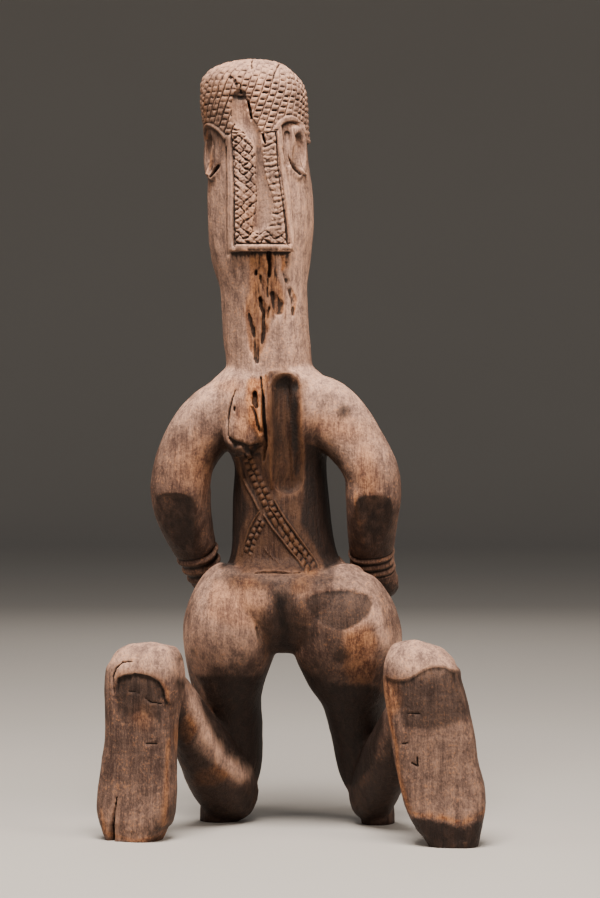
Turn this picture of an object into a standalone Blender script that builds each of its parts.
"""A kneeling royal figure carved from one log, as a single closed solid that stands on its knees and toes.

The body is lofted limb by limb, merged with a voxel remesh, carved by moving its points along their normals,
reduced, and cut flat where it rests. The figure faces -Y, so its carved back faces +Y.
"""

import math

import bmesh
import bpy
import numpy as np
from mathutils import Matrix, Vector

# Driving dimensions, in metres.
HEIGHT = 0.65
BLEND_CELL = 0.0024
SOFTENING_PASSES = 5
FIGURE_TRIANGLES = 9800

# The carving, in metres.
HAIR_RELIEF = 0.0026
HAIR_BORDER_WIDTH = 0.0042
HAIR_BORDER_RELIEF = 0.0012
HAIR_STRIP_PITCH = 0.0085
HAIR_GROOVE_DEPTH = 0.0014
PLAIT_RELIEF = 0.0050
GOUGE_RADIUS = 0.0125
GOUGE_DEPTH = 0.0080
SCAR_RELIEF = 0.0016
SCAR_PITCH = 0.0052
SCAR_ROW_PITCH = 0.0046
RING_RELIEF = 0.0024
RING_PITCH = 0.0085
DIGIT_GROOVE_DEPTH = 0.0022
CLEFT_DEPTH = 0.0045
SOLE_RECESS = 0.0022
FACE_DEPTH = 0.0022

# Places and sizes of the free form are in thousandths of the height.
SHARE = HEIGHT / 1000

# Boxes where the carving is fine, by their lowest and highest corners, and how often each is divided.
FINE_ZONES = (
    ((-60, -120, 740), (140, 120, 1010), 1),
    ((-60, 10, 340), (70, 120, 515), 2),
    ((60, -120, 285), (160, 20, 375), 1),
    ((-160, -120, 285), (-70, 20, 375), 1),
    ((100, 150, 150), (215, 240, 235), 1),
    ((-265, 150, 150), (-135, 240, 250), 1),
)

# How far the head is turned to its own left, away from the shoulders.
HEAD_TURN = math.radians(8)

# Each section of a loft: x, y, z of its centre, half width, half depth.
HEAD_AND_NECK = (
    (18, 0, 560, 58, 54),
    (18, 0, 601, 55.5, 53),
    (21, 0, 632, 55.5, 52),
    (23, 0, 663, 55.5, 52),
    (25, -1, 694, 56, 54),
    (28, -5, 718, 60, 61),
    (30, -7, 744, 65, 67),
    (30, -7, 775, 68, 70),
    (30, -6, 815, 68, 71),
    (32, -5, 860, 64.5, 70),
    (35, -4, 900, 64.5, 69),
    (38, -3, 935, 66, 68),
    (39, -3, 958, 63, 65),
    (40, -3, 974, 56, 58),
    (41, -3, 987, 43, 46),
    (42, -3, 995, 26, 28),
    (42, -3, 998, 9, 10),
)
TRUNK = (
    (16, 1, 606, 46, 44),
    (16, 3, 590, 64, 50),
    (15, 5, 570, 84, 57),
    (12, 7, 545, 90, 62),
    (9, 7, 520, 82, 62),
    (7, 1, 495, 68, 56),
    (4, -6, 470, 60, 52),
    (4, -11, 431, 62, 57),
    (3, -14, 395, 64, 62),
    (1, -14, 365, 67, 63),
    (-1, -10, 347, 72, 62),
    (-6, 0, 335, 82, 66),
    (-11, 11, 324, 99, 72),
    (-15, 15, 308, 109, 74),
    (-16, 16, 288, 106, 74),
    (-15, 13, 262, 86, 66),
    (-12, 9, 238, 58, 50),
    (-6, 6, 227, 26, 34),
)
LEFT_ARM = (
    (30, 6, 548, 44, 46),
    (70, 10, 540, 43, 45),
    (102, 15, 516, 41, 41),
    (124, 18, 480, 38, 38),
    (132, 17, 446, 38, 38),
    (132, 13, 430, 37, 40),
    (131, 4, 412, 35, 38),
    (126, -10, 384, 31, 32),
    (117, -26, 352, 26, 25),
    (110, -42, 327, 23, 21),
    (100, -62, 308, 24, 20),
    (82, -76, 300, 22, 15),
    (62, -84, 300, 18, 10),
)
RIGHT_ARM = (
    (-26, 6, 546, 44, 46),
    (-56, 10, 538, 44, 45),
    (-80, 15, 519, 41, 40),
    (-103, 18, 490, 36, 36),
    (-118, 18, 462, 35, 35),
    (-120, 15, 446, 36, 37),
    (-120, 12, 430, 36, 40),
    (-118, 3, 410, 34, 37),
    (-115, -11, 380, 31, 31),
    (-113, -26, 352, 28, 25),
    (-116, -40, 331, 26, 21),
    (-118, -56, 312, 27, 20),
    (-104, -74, 302, 24, 16),
    (-78, -86, 300, 19, 11),
)
LEFT_THIGH = (
    (44, 14, 326, 40, 42),
    (54, 20, 302, 55, 55),
    (60, 27, 271, 63, 61),
    (66, 22, 239, 61, 60),
    (71, 8, 199, 51, 53),
    (72, -8, 163, 42, 47),
    (69, -25, 117, 38, 44),
    (70, -36, 75, 36, 42),
    (80, -42, 38, 33, 38),
    (88, -42, 15, 28, 34),
    (92, -42, -14, 24, 28),
)
RIGHT_THIGH = (
    (-56, 14, 326, 42, 42),
    (-66, 20, 302, 58, 55),
    (-82, 27, 273, 68, 61),
    (-88, 22, 240, 71, 60),
    (-92, 8, 200, 60, 54),
    (-94, -8, 166, 43, 48),
    (-97, -25, 120, 36, 44),
    (-101, -37, 75, 32, 42),
    (-111, -43, 43, 26, 38),
    (-118, -44, 20, 23, 34),
    (-121, -44, -14, 20, 28),
)
LEFT_SHIN = (
    (62, -46, 30, 32, 32),
    (76, -26, 40, 38, 38),
    (85, 2, 66, 42, 40),
    (98, 42, 103, 35, 37),
    (113, 84, 149, 28, 32),
    (130, 116, 182, 27, 30),
    (146, 138, 196, 25, 27),
)
RIGHT_SHIN = (
    (-108, -46, 30, 26, 30),
    (-115, -26, 42, 32, 36),
    (-127, 2, 66, 33, 38),
    (-145, 42, 101, 33, 36),
    (-167, 84, 146, 28, 32),
    (-186, 116, 180, 27, 30),
    (-194, 138, 194, 25, 27),
)
LEFT_FOOT = (
    (158, 146, 247, 16, 12),
    (157, 147, 238, 36, 26),
    (154, 149, 222, 47, 33),
    (154, 150, 195, 49.5, 35),
    (157, 152, 161, 46, 32),
    (158, 153, 124, 45, 30),
    (161, 154, 86, 48, 30),
    (163, 155, 55, 50, 31),
    (165, 156, 30, 48, 32),
    (166, 156, 12, 40, 31),
    (166, 156, -14, 28, 28),
)
RIGHT_FOOT = (
    (-205, 146, 250, 18, 12),
    (-202, 147, 240, 37, 26),
    (-198, 149, 225, 47, 33),
    (-198, 150, 200, 48.5, 36),
    (-205, 152, 166, 50.5, 34),
    (-212, 153, 129, 52, 32),
    (-218, 154, 93, 51, 31),
    (-226, 155, 62, 51, 31),
    (-232, 156, 37, 46, 32),
    (-237, 156, 12, 35, 30),
    (-239, 156, -14, 24, 26),
)

# The row of an arm's sections that its middle bracelet goes round.
WRIST_ROW = 9

# Which way a limb's half widths are measured, where that isn't along x, and how square its sections are.
LEFT_ARM_SIDE = (0.94, 0, 0.34)
RIGHT_ARM_SIDE = (0.94, 0, -0.34)
ARM_SQUARENESS = 2.5
FOOT_SIDE = (0.97, -0.22, 0)
FOOT_SQUARENESS = 3.4

# Flats that the adze left: a point on each, the way it faces, and the box it reaches, by its two corners.
FACETS = (
    ((130, 50, 430), (0.06, 0.87, -0.49), ((80, -10, 345), (178, 80, 434))),
    ((-126, 50, 430), (-0.12, 0.87, -0.48), ((-172, -10, 345), (-90, 80, 434))),
)
FACET_FADE = 5

# The line where each sole is cut in below the heel, as x and z, and how far below it the cut runs out.
SOLE_EDGES = (
    ((120, 150), (123, 191), (130, 203), (139, 209), (177, 208), (185, 199), (189, 150)),
    ((-252, 210), (-244, 219), (-224, 227), (-199, 221), (-189, 214), (-178, 208), (-165, 212), (-150, 214)),
)
SOLE_RECESS_FADE = 110

SPINE_PILLAR = (
    (-6, 48, 590, 20, 14),
    (-6, 52, 560, 26, 18),
    (-6, 50, 520, 26, 20),
    (-5, 42, 480, 25, 18),
    (-4, 36, 445, 22, 12),
    (-3, 32, 432, 14, 6),
)

# Rounded lumps of the form: x, y, z of the centre and the three half sizes.
LUMPS = (
    ("left_shoulder_blade", (46, 54, 512), (24, 16, 32)),
    ("left_chest", (42, -42, 512), (32, 17, 24)),
    ("right_chest", (-16, -42, 512), (32, 17, 24)),
    ("navel", (2, -76, 392), (12, 9, 12)),
    ("left_ankle_bone", (122, 96, 160), (13, 13, 15)),
    ("right_ankle_bone", (-166, 92, 158), (13, 13, 15)),
)

# The face, by the usual rule of a head five eyes wide with its eyes half way up. Each lump: how far to its
# left of the face's middle line, how far in front of the head's middle, height, and the three half sizes.
CHIN_Z = 722
MOUTH_Z = 764
NOSE_FOOT_Z = 792
EYE_Z = 846
BROW_Z = 864
EYE_WIDTH = 26
FACE_LUMPS = (
    ("chin", (0, 46, CHIN_Z), (27, 26, 22)),
    ("upper_lip", (0, 70, MOUTH_Z + 5), (20, 9, 5)),
    ("lower_lip", (0, 68, MOUTH_Z - 6), (17, 9, 6)),
    ("left_nostril", (8, 74, NOSE_FOOT_Z + 4), (7, 8, 7)),
    ("right_nostril", (-8, 74, NOSE_FOOT_Z + 4), (7, 8, 7)),
    ("left_eye", (EYE_WIDTH, 62, EYE_Z), (EYE_WIDTH / 2 + 2, 10, 7.5)),
    ("right_eye", (-EYE_WIDTH, 62, EYE_Z), (EYE_WIDTH / 2 + 2, 10, 7.5)),
)
NOSE = ((65, BROW_Z, 8, 8), (71, EYE_Z - 6, 7, 9), (75, NOSE_FOOT_Z + 20, 8.5, 11), (76, NOSE_FOOT_Z + 5, 9, 13))

EAR_CENTRE_ANGLE = math.radians(60)
EAR_CENTRE_Z = 872
EAR_HALF_HEIGHT = 30
EAR_HALF_WIDTH = 14
EAR_RIM = 5.5
EAR_STANDOFF = 2.5

# The hair: its lower edge, the plait panel that hangs from it, and the bare disc round each ear.
HAIR_LINE_Z = 888
EAR_CLEARANCE = 41
PLAIT_HALF_WIDTH = 33
PLAIT_FOOT_Z = 745
PLAIT_TOP_Z = 905
PLAIT_HANG_Z = 880
HEAD_RADIUS = 67
HAIR_STRIP_LEAN = 0.36

# The grooved pillar down the upper back.
GOUGE_X = -14
GOUGE_TOP_Z = 588
GOUGE_FOOT_Z = 442

# Scar bands on the lower back: the line of each band's middle as x, z, then its rows of beads.
SCAR_BANDS = (
    (((39, 481), (26, 447), (9, 405), (-5, 385), (-16, 373), (-42, 336)), 3),
    (((22, 410), (34, 383), (42, 352)), 2),
)
SCAR_BEAD_ROUNDNESS = 0.62

# Worn trenches, each a line of x, z and half width, and its depth in metres.
ROT_IN_THE_HAIR = (
    (40, 946, 13),
    (46, 928, 11),
    (44, 912, 10),
    (33, 900, 9),
    (24, 887, 8),
    (21, 855, 5),
    (20, 823, 6),
    (16, 803, 9),
    (12, 790, 9),
    (17, 774, 7),
)
EROSION = (
    (ROT_IN_THE_HAIR, 0.0040),
    (((4, 740, 10), (9, 695, 14), (12, 663, 12), (9, 609, 5)), 0.0030),
    (((-21, 746, 4), (-21, 669, 3)), 0.0015),
    (((23, 586, 3.5), (24, 560, 5), (21, 515, 4.5), (19, 480, 4), (17, 440, 2.5)), 0.0050),
    (((60, 566, 1.8), (60, 530, 2.6), (58, 492, 1.6)), 0.0030),
)

CLEFT_X = -11
CLEFT_HALF_WIDTH = 9
CLEFT_SPAN = (222, 330)


def spline(points, per_span):
    """Points on a smooth curve through the given ones, each a row of numbers."""
    rows = np.array(points, float)
    padded = np.vstack([2 * rows[0] - rows[1], rows, 2 * rows[-1] - rows[-2]])
    out = []
    for before, start, end, after in zip(padded, padded[1:], padded[2:], padded[3:]):
        for step in range(per_span):
            t = step / per_span
            out.append(
                0.5
                * (
                    2 * start
                    + (end - before) * t
                    + (2 * before - 5 * start + 4 * end - after) * t**2
                    + (3 * start - before - 3 * end + after) * t**3
                )
            )
    out.append(rows[-1])
    return np.array(out)


def loft(name, sections, side=(1, 0, 0), squareness=2.2, level=False, corners=28, per_span=4):
    """A closed limb: rounded sections, level or square to the path through their centres."""
    rows = spline(sections, per_span) * SHARE
    tangents = np.gradient(rows[:, :3], axis=0)
    mesh = bmesh.new()
    rings = []
    for row, tangent in zip(rows, tangents):
        along = Vector((0, 0, math.copysign(1, tangent[2]))) if level else Vector(tangent).normalized()
        across = Vector(side) - along * along.dot(Vector(side))
        across.normalize()
        deep = along.cross(across)
        ring = []
        for corner in range(corners):
            angle = math.tau * corner / corners
            c, s = math.cos(angle), math.sin(angle)
            u = math.copysign(abs(c) ** (2 / squareness), c) * row[3]
            v = math.copysign(abs(s) ** (2 / squareness), s) * row[4]
            ring.append(mesh.verts.new(Vector(row[:3]) + across * u + deep * v))
        rings.append(ring)
    for ring, following in zip(rings, rings[1:]):
        for k in range(corners):
            following_k = (k + 1) % corners
            mesh.faces.new((ring[k], ring[following_k], following[following_k], following[k]))
    mesh.faces.new(rings[0])
    mesh.faces.new(rings[-1])
    bmesh.ops.recalc_face_normals(mesh, faces=mesh.faces)
    return link_mesh(name, mesh)


def lump(name, centre, half_sizes):
    """An ellipsoid of the form."""
    mesh = bmesh.new()
    place = Matrix.Translation(Vector(centre) * SHARE) @ Matrix.Diagonal((*(Vector(half_sizes) * SHARE), 1))
    bmesh.ops.create_uvsphere(mesh, u_segments=20, v_segments=12, radius=1, matrix=place)
    return link_mesh(name, mesh)


def link_mesh(name, mesh):
    """Makes an object of a bmesh and puts it in the scene."""
    data = bpy.data.meshes.new(name)
    mesh.to_mesh(data)
    mesh.free()
    made = bpy.data.objects.new(name, data)
    bpy.context.scene.collection.objects.link(made)
    return made


def head_axis(z):
    """x and y of the head's middle at a height, both in thousandths of the figure's height."""
    table = np.array(HEAD_AND_NECK)
    return np.interp(z, table[:, 2], table[:, 0]), np.interp(z, table[:, 2], table[:, 1])


def on_head(sideways, ahead, z):
    """A place given by how far it is to the head's left and in front of the head's middle."""
    back, left = head_frame()
    x, y = np.array(head_axis(z)) + left * sideways - back * ahead
    return x, y, z


def around_head(points):
    """How far points are to the head's left of its middle, and how far behind it."""
    back, left = head_frame()
    x, y = head_axis(points[:, 2])
    level = np.stack([points[:, 0] - x, points[:, 1] - y], axis=1)
    return level @ left, level @ back


def head_frame():
    """The directions to the head's back and to its left, level and of length 1."""
    back = np.array([-math.sin(HEAD_TURN), math.cos(HEAD_TURN)])
    left = np.array([math.cos(HEAD_TURN), math.sin(HEAD_TURN)])
    return back, left


def ear(name, sign):
    """An oval rim standing off the side of the head, behind its middle."""
    back, left = head_frame()
    outward = back * math.cos(EAR_CENTRE_ANGLE) + left * sign * math.sin(EAR_CENTRE_ANGLE)
    forward = back * -math.sin(EAR_CENTRE_ANGLE) + left * sign * math.cos(EAR_CENTRE_ANGLE)
    x, y = head_axis(EAR_CENTRE_Z)
    centre = np.array([x, y]) + outward * (HEAD_RADIUS + EAR_STANDOFF)
    points = []
    for turn in np.linspace(0, math.tau, 17):
        level = forward * EAR_HALF_WIDTH * math.sin(turn)
        wrap = -0.35 * abs(math.sin(turn)) * outward * EAR_RIM
        z = EAR_CENTRE_Z + EAR_HALF_HEIGHT * math.cos(turn)
        points.append((*(centre + level + wrap), z, EAR_RIM, EAR_RIM))
    return loft(name, points, side=(*outward, 0), squareness=2, corners=10, per_span=2)


def joined(name, pieces):
    """One object holding all the pieces, still overlapping."""
    mesh = bmesh.new()
    for piece in pieces:
        mesh.from_mesh(piece.data)
        bpy.data.objects.remove(piece)
    return link_mesh(name, mesh)


def apply_modifiers(thing):
    """Replaces the object's mesh by what its modifiers make of it."""
    graph = bpy.context.evaluated_depsgraph_get()
    graph.update()
    thing.data = bpy.data.meshes.new_from_object(thing.evaluated_get(graph))
    thing.modifiers.clear()


def blend(thing):
    """Merges the overlapping limbs into one skin and softens where they meet."""
    remesh = thing.modifiers.new("merge", "REMESH")
    remesh.mode = "VOXEL"
    remesh.voxel_size = BLEND_CELL
    smooth = thing.modifiers.new("soften", "SMOOTH")
    smooth.factor = 0.5
    smooth.iterations = SOFTENING_PASSES
    apply_modifiers(thing)


def points_and_normals(thing):
    """The mesh's points in thousandths of the height, and its normals."""
    count = len(thing.data.vertices)
    points = np.empty(count * 3)
    thing.data.vertices.foreach_get("co", points)
    normals = np.empty(count * 3)
    thing.data.vertices.foreach_get("normal", normals)
    return points.reshape(-1, 3) / SHARE, normals.reshape(-1, 3)


def rise(x):
    """A smooth step from 0 to 1 as x goes from 0 to 1."""
    t = np.clip(x, 0, 1)
    return t * t * (3 - 2 * t)


def distance_to_line(points, line):
    """Distance of 2-D points to a broken line, how far along it they fall, and the signed side."""
    best = np.full(len(points), 1e9)
    along = np.zeros(len(points))
    side = np.zeros(len(points))
    run = 0.0
    for start, end in zip(np.array(line, float), np.array(line, float)[1:]):
        step = end - start
        length = np.linalg.norm(step)
        t = np.clip((points - start) @ step / length**2, 0, 1)
        gap = points - start - t[:, None] * step
        near = np.hypot(gap[:, 0], gap[:, 1])
        closer = near < best
        cross = (step[0] * gap[:, 1] - step[1] * gap[:, 0]) / length
        best = np.where(closer, near, best)
        along = np.where(closer, run + t * length, along)
        side = np.where(closer, cross, side)
        run += length
    return best, along, side


def hair_relief(points):
    """Height of the cap of hair and its hanging panel, with raised borders and leaning strips."""
    sideways, behind = around_head(points)
    radius = np.hypot(sideways, behind)
    s, z = np.arctan2(sideways, behind) * HEAD_RADIUS, points[:, 2]
    ear_s = EAR_CENTRE_ANGLE * HEAD_RADIUS
    off_ear = np.hypot(np.abs(s) - ear_s, z - EAR_CENTRE_Z) - EAR_CLEARANCE
    cap = np.minimum(z - HAIR_LINE_Z, off_ear)
    plait = np.minimum(np.minimum(PLAIT_HALF_WIDTH - np.abs(s), z - PLAIT_FOOT_Z), PLAIT_TOP_Z - z)
    inside = np.maximum(cap, plait) * SHARE
    hang = rise((PLAIT_HANG_Z - z) / (PLAIT_HANG_Z - PLAIT_FOOT_Z)) * (np.abs(s) < 2 * PLAIT_HALF_WIDTH)
    height = HAIR_RELIEF + PLAIT_RELIEF * hang
    edge = rise(inside / 0.002 + 0.5)
    border = edge * (1 - rise((inside - HAIR_BORDER_WIDTH) / 0.0012))
    meridian = z + 60 * np.clip(1 - radius / HEAD_RADIUS, 0, 1)
    strip = (s + HAIR_STRIP_LEAN * (meridian - 900)) * SHARE / HAIR_STRIP_PITCH
    groove = 0.5 + 0.5 * np.cos(math.tau * strip)
    field = rise((inside - HAIR_BORDER_WIDTH) / 0.001) * rise((radius - 14) / 8)
    total = edge * height + border * HAIR_BORDER_RELIEF - field * groove**2 * HAIR_GROOVE_DEPTH
    return np.where((z > 700) & (radius < 110), total, 0)


def gouge_relief(points):
    """The long round-ended trough down the pillar on the upper back."""
    middle = ((GOUGE_X, GOUGE_TOP_Z - GOUGE_RADIUS / SHARE), (GOUGE_X, GOUGE_FOOT_Z + GOUGE_RADIUS / SHARE))
    near, _, _ = distance_to_line(points[:, [0, 2]], middle)
    share = np.clip(near * SHARE / GOUGE_RADIUS, 0, 1)
    return np.where(points[:, 1] > 15, -GOUGE_DEPTH * np.sqrt(1 - share**2) ** 1.2, 0)


def scar_relief(points):
    """Rows of raised beads in bands that cross on the lower back."""
    flat = points[:, [0, 2]]
    total = np.zeros(len(points))
    for line, rows in SCAR_BANDS:
        near, along, side = distance_to_line(flat, line)
        lane = side * SHARE / SCAR_ROW_PITCH + (0.5 if rows % 2 == 0 else 0)
        bead = along * SHARE / SCAR_PITCH
        dome = np.abs(np.cos(math.pi * lane)) * np.abs(np.sin(math.pi * bead))
        inside = near * SHARE < rows * SCAR_ROW_PITCH / 2
        total = np.maximum(total, np.where(inside, SCAR_RELIEF * dome**SCAR_BEAD_ROUNDNESS, 0))
    on_back = rise((points[:, 1] - 20) / 8)
    clear_of_pillar = np.maximum(rise((452 - points[:, 2]) / 6), rise((points[:, 0] - 20) / 4))
    return total * on_back * clear_of_pillar


def ring_relief(points, arm):
    """Three raised bracelets round a wrist."""
    wrist, above = (np.array(arm[row][:3], float) for row in (WRIST_ROW, WRIST_ROW - 1))
    axis = (above - wrist) / np.linalg.norm(above - wrist)
    offset = (points - wrist) @ axis * SHARE
    radial = np.linalg.norm(points - wrist - (offset / SHARE)[:, None] * axis, axis=1)
    phase = offset / RING_PITCH
    ridge = np.abs(np.cos(math.pi * phase)) ** 1.5
    inside = (np.abs(phase) < 1.5) & (radial < 42)
    return np.where(inside, RING_RELIEF * (ridge - 0.3), 0)


def cleft_relief(points):
    """The shallow valley between the buttocks."""
    foot, head = CLEFT_SPAN
    down_the_back = rise((points[:, 2] - foot) / 14) * rise((head - points[:, 2]) / 30)
    valley = np.exp(-(((points[:, 0] - CLEFT_X) / CLEFT_HALF_WIDTH) ** 2))
    return -CLEFT_DEPTH * valley * down_the_back * rise((points[:, 1] - 30) / 10)


def sole_relief(points):
    """The sole of each foot, cut in below a sharp edge under the heel."""
    total = np.zeros(len(points))
    for edge in SOLE_EDGES:
        line = np.array(edge, float)
        below = np.interp(points[:, 0], line[:, 0], line[:, 1]) - points[:, 2]
        between = (points[:, 0] > line[0, 0]) & (points[:, 0] < line[-1, 0])
        cut = rise(below / 2) * (1 - rise(below / SOLE_RECESS_FADE))
        total -= np.where(between & (points[:, 1] > 165), SOLE_RECESS * cut, 0)
    return total


def digit_relief(points):
    """Grooves between toes and between fingers."""
    total = np.zeros(len(points))
    for sign, foot in ((1, LEFT_FOOT), (-1, RIGHT_FOOT)):
        centre_x = foot[8][0]
        on_toes = (
            rise((62 - points[:, 2]) / 12)
            * (points[:, 1] < 152)
            * (points[:, 1] > 100)
            * (sign * points[:, 0] > 100)
        )
        across = (points[:, 0] - centre_x) / 19
        total -= on_toes * DIGIT_GROOVE_DEPTH * np.abs(np.cos(math.pi * across)) ** 6
    for arm in (LEFT_ARM, RIGHT_ARM):
        hand_x = arm[-2][0]
        reach = np.abs(points[:, 0] - hand_x)
        on_hand = rise((34 - reach) / 8) * rise((-66 - points[:, 1]) / 6)
        on_hand *= rise((332 - points[:, 2]) / 6) * rise((points[:, 2] - 262) / 6)
        rows = (points[:, 2] - arm[-1][2]) / 9
        total -= on_hand * DIGIT_GROOVE_DEPTH * np.abs(np.sin(math.pi * rows)) ** 6
    return total


def face_relief(points):
    """Eye sockets under level brows, shut eyelids and a mouth line."""
    sideways, behind = around_head(points)
    z = points[:, 2]
    off_eye = np.abs(sideways) - EYE_WIDTH
    socket = -FACE_DEPTH * np.exp(-((off_eye / 21) ** 2) - ((z - EYE_Z) / 13) ** 2)
    slit = -0.5 * FACE_DEPTH * np.exp(-(((z - EYE_Z + 1) / 2.2) ** 2)) * rise((EYE_WIDTH / 2 - np.abs(off_eye)) / 4)
    mouth = -0.7 * FACE_DEPTH * np.exp(-(((z - MOUTH_Z) / 2.4) ** 2)) * rise((19 - np.abs(sideways)) / 4)
    brow_line = BROW_Z + 3 - 0.012 * off_eye**2
    brow = 0.6 * FACE_DEPTH * np.exp(-(((z - brow_line) / 4.5) ** 2)) * rise((EYE_WIDTH * 1.7 - np.abs(sideways)) / 6)
    return rise((-30 - behind) / 14) * (z > CHIN_Z - 30) * (socket + slit + mouth + brow)


def erosion_relief(points):
    """Rot, splintered grain and the cracks of the back, each a trench of changing width along a line."""
    total = np.zeros(len(points))
    for line, depth in EROSION:
        near, along, _ = distance_to_line(points[:, [0, 2]], [row[:2] for row in line])
        runs = np.cumsum([0] + [math.dist(a[:2], b[:2]) for a, b in zip(line, line[1:])])
        width = np.interp(along, runs, [row[2] for row in line])
        total = np.minimum(total, -depth * np.sqrt(1 - np.clip(near / width, 0, 1) ** 2))
    return np.where(points[:, 1] > 15, total, 0)


def refine(thing):
    """Adds points where the carving is fine: the head, the scarred lower back, hands, wrists and toes."""
    mesh = bmesh.new()
    mesh.from_mesh(thing.data)
    for lowest, highest, times in FINE_ZONES:
        low, high = Vector(lowest) * SHARE, Vector(highest) * SHARE
        for _ in range(times):
            edges = [
                edge
                for edge in mesh.edges
                if all(low[k] < vertex.co[k] < high[k] for vertex in edge.verts for k in range(3))
            ]
            bmesh.ops.subdivide_edges(mesh, edges=edges, cuts=1, use_grid_fill=True)
    bmesh.ops.triangulate(mesh, faces=mesh.faces)
    mesh.to_mesh(thing.data)
    mesh.free()


def flatten(thing):
    """Brings what stands beyond each facet back onto it."""
    points, _ = points_and_normals(thing)
    for on_facet, facing, (lowest, highest) in FACETS:
        normal = np.array(facing) / np.linalg.norm(facing)
        within = np.minimum(points - np.array(lowest), np.array(highest) - points).min(axis=1)
        beyond = np.clip((points - np.array(on_facet)) @ normal, 0, None) * rise(within / FACET_FADE)
        points -= beyond[:, None] * normal
    thing.data.vertices.foreach_set("co", (points * SHARE).ravel())
    thing.data.update()


def carve(thing):
    """Moves each point along its normal by the sum of the carvings."""
    points, normals = points_and_normals(thing)
    height = hair_relief(points) + gouge_relief(points) + scar_relief(points)
    height += ring_relief(points, LEFT_ARM) + ring_relief(points, RIGHT_ARM)
    height += digit_relief(points) + face_relief(points) + cleft_relief(points) + erosion_relief(points)
    height += sole_relief(points)
    carved = points * SHARE + normals * height[:, None]
    thing.data.vertices.foreach_set("co", carved.ravel())
    thing.data.update()


def reduce(thing):
    """Brings the skin down to the triangles that the shape needs."""
    thin = thing.modifiers.new("reduce", "DECIMATE")
    triangles = sum(len(face.vertices) - 2 for face in thing.data.polygons)
    thin.ratio = FIGURE_TRIANGLES / triangles
    thin.use_collapse_triangulate = True
    apply_modifiers(thing)


def cut_level(thing):
    """Cuts knees and toes off flat where the figure rests, and puts the origin under its middle."""
    mesh = bmesh.new()
    mesh.from_mesh(thing.data)
    floor = Vector((0, 0, 0))
    everything = [*mesh.verts, *mesh.edges, *mesh.faces]
    bmesh.ops.bisect_plane(mesh, geom=everything, dist=1e-5, plane_co=floor, plane_no=(0, 0, 1), clear_inner=True)
    rim = [edge for edge in mesh.edges if edge.is_boundary]
    bmesh.ops.holes_fill(mesh, edges=rim, sides=0)
    bmesh.ops.triangulate(mesh, faces=[face for face in mesh.faces if len(face.verts) > 3])
    bmesh.ops.recalc_face_normals(mesh, faces=mesh.faces)
    mesh.to_mesh(thing.data)
    mesh.free()
    xs = [vertex.co.x for vertex in thing.data.vertices]
    ys = [vertex.co.y for vertex in thing.data.vertices]
    middle = Vector(((min(xs) + max(xs)) / 2, (min(ys) + max(ys)) / 2, 0))
    thing.data.transform(Matrix.Translation(-middle))
    return middle


def old_wood():
    """Dark hardwood with a worn, dusty patina."""
    material = bpy.data.materials.new("old_wood")
    material.use_nodes = True
    shader = material.node_tree.nodes["Principled BSDF"]
    shader.inputs["Base Color"].default_value = (0.13, 0.085, 0.062, 1)
    shader.inputs["Roughness"].default_value = 0.62
    shader.inputs["Metallic"].default_value = 0
    return material


def build_figure():
    """The whole figure, one carved piece."""
    pieces = [
        loft("head_and_neck", HEAD_AND_NECK, squareness=2.3),
        loft("trunk", TRUNK, squareness=2.4, level=True),
        loft("left_arm", LEFT_ARM, side=LEFT_ARM_SIDE, squareness=ARM_SQUARENESS),
        loft("right_arm", RIGHT_ARM, side=RIGHT_ARM_SIDE, squareness=ARM_SQUARENESS),
        loft("left_thigh", LEFT_THIGH),
        loft("right_thigh", RIGHT_THIGH),
        loft("left_shin", LEFT_SHIN),
        loft("right_shin", RIGHT_SHIN),
        loft("left_foot", LEFT_FOOT, side=FOOT_SIDE, squareness=FOOT_SQUARENESS),
        loft("right_foot", RIGHT_FOOT, squareness=FOOT_SQUARENESS),
        loft("spine_pillar", SPINE_PILLAR, squareness=2.6),
        loft("nose", [(*on_head(0, ahead, z), wide, deep) for ahead, z, wide, deep in NOSE]),
        ear("left_ear", 1),
        ear("right_ear", -1),
    ]
    pieces += [lump(*row) for row in LUMPS]
    pieces += [lump(name, on_head(*place), half_sizes) for name, place, half_sizes in FACE_LUMPS]
    figure = joined("kneeling_figure", pieces)
    blend(figure)
    refine(figure)
    flatten(figure)
    carve(figure)
    reduce(figure)
    cut_level(figure)
    figure.data.materials.clear()
    figure.data.materials.append(old_wood())
    figure.data.shade_smooth()
    return figure


def main():
    for leftover in list(bpy.data.objects):
        bpy.data.objects.remove(leftover)
    figure = build_figure()
    collection = bpy.data.collections.new("kneeling_royal_figure")
    bpy.context.scene.collection.children.link(collection)
    bpy.context.scene.collection.objects.unlink(figure)
    collection.objects.link(figure)


main()
